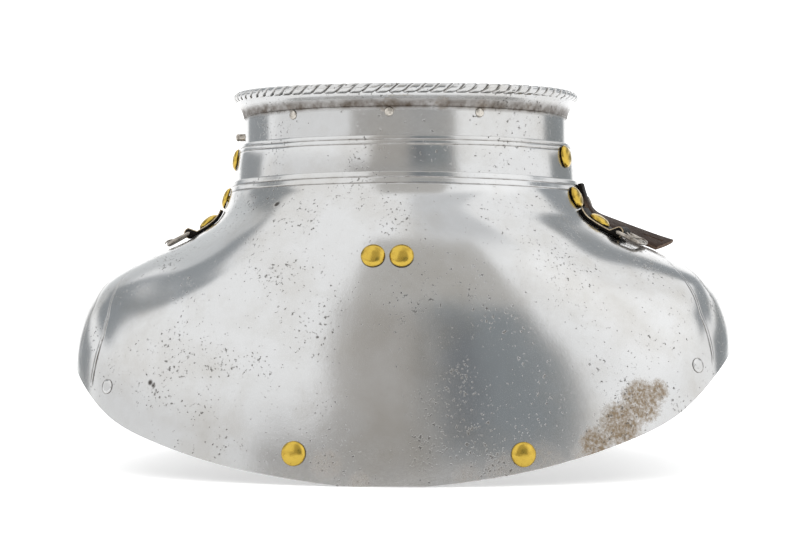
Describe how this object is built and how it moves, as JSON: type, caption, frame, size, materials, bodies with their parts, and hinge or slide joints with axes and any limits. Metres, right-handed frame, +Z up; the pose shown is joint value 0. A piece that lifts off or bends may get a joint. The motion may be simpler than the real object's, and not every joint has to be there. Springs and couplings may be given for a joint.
{
  "type": "steel gorget",
  "caption": "Hinged steel neck and shoulder armour with a roped rim, tilting neck lames, brass rivets and shoulder buckles.",
  "frame": {"origin": "middle of the whole outline, on the surface that the two lower edges rest on", "axes": "+X to the wearer's left, -Y to the front, +Z up the neck"},
  "size_m": [0.308, 0.2376, 0.1736],
  "materials": {
    "steel_plate": "polished steel with pits and stains",
    "steel_fitting": "worn steel",
    "brass_rivet": "polished brass",
    "leather_black": "black leather",
    "leather_brown": "worn brown leather"
  },
  "bodies": {
    "front": {"front_main_plate": "steel_plate", "front_lame_pivot_left": "brass_rivet", "front_lame_pivot_right": "brass_rivet", "centre_rivet_left": "brass_rivet", "centre_rivet_right": "brass_rivet", "lower_rivet_left": "brass_rivet", "lower_rivet_right": "brass_rivet", "corner_rivet_left": "steel_fitting", "corner_rivet_right": "steel_fitting", "chape_left": "leather_black", "chape_right": "leather_black", "chape_rivet_left": "brass_rivet", "chape_rivet_right": "brass_rivet", "buckle_left": "steel_fitting", "buckle_right": "steel_fitting", "buckle_tongue_left": "steel_fitting", "buckle_tongue_right": "steel_fitting", "shoulder_strap": "leather_brown", "strap_rivet": "steel_fitting", "hinge_front_leaf": "steel_fitting", "hinge_pin": "steel_fitting"},
    "front_lame": {"front_neck_lame": "steel_plate", "front_collar_pivot_left": "brass_rivet", "front_collar_pivot_right": "brass_rivet"},
    "front_top": {"front_collar": "steel_plate", "collar_rivet_1": "steel_fitting", "collar_rivet_2": "steel_fitting", "collar_rivet_3": "steel_fitting"},
    "back": {"back_main_plate": "steel_plate", "back_lame_pivot_left": "brass_rivet", "back_lame_pivot_right": "brass_rivet", "hinge_back_leaf": "steel_fitting"},
    "back_lame": {"back_neck_lame": "steel_plate", "back_collar_pivot_left": "brass_rivet", "back_collar_pivot_right": "brass_rivet"},
    "back_top": {"back_collar": "steel_plate", "closing_peg": "steel_fitting", "back_collar_rivet_1": "steel_fitting", "back_collar_rivet_2": "steel_fitting", "back_collar_rivet_3": "steel_fitting"}
  },
  "joints": [
    {"name": "opening_hinge", "type": "hinge", "parent": "front", "child": "back", "pos_m": [0.15196, 0.0218, 0.0585], "axis": [0, 0, -1], "range_deg": [0, 60]},
    {"name": "front_lame_tilt", "type": "hinge", "parent": "front", "child": "front_lame", "pos_m": [-0.0028, -0.0124, 0.125], "axis": [0.995, -0.1, 0], "range_deg": [0, 2]},
    {"name": "front_collar_tilt", "type": "hinge", "parent": "front_lame", "child": "front_top", "pos_m": [-0.0028, -0.0124, 0.144], "axis": [0.995, -0.1, 0], "range_deg": [0, 2]},
    {"name": "back_lame_tilt", "type": "hinge", "parent": "back", "child": "back_lame", "pos_m": [-0.0011, 0.0286, 0.125], "axis": [-1, 0, 0], "range_deg": [0, 2]},
    {"name": "back_collar_tilt", "type": "hinge", "parent": "back_lame", "child": "back_top", "pos_m": [-0.0011, 0.0282, 0.144], "axis": [-1, 0, 0], "range_deg": [0, 2]}
  ]
}
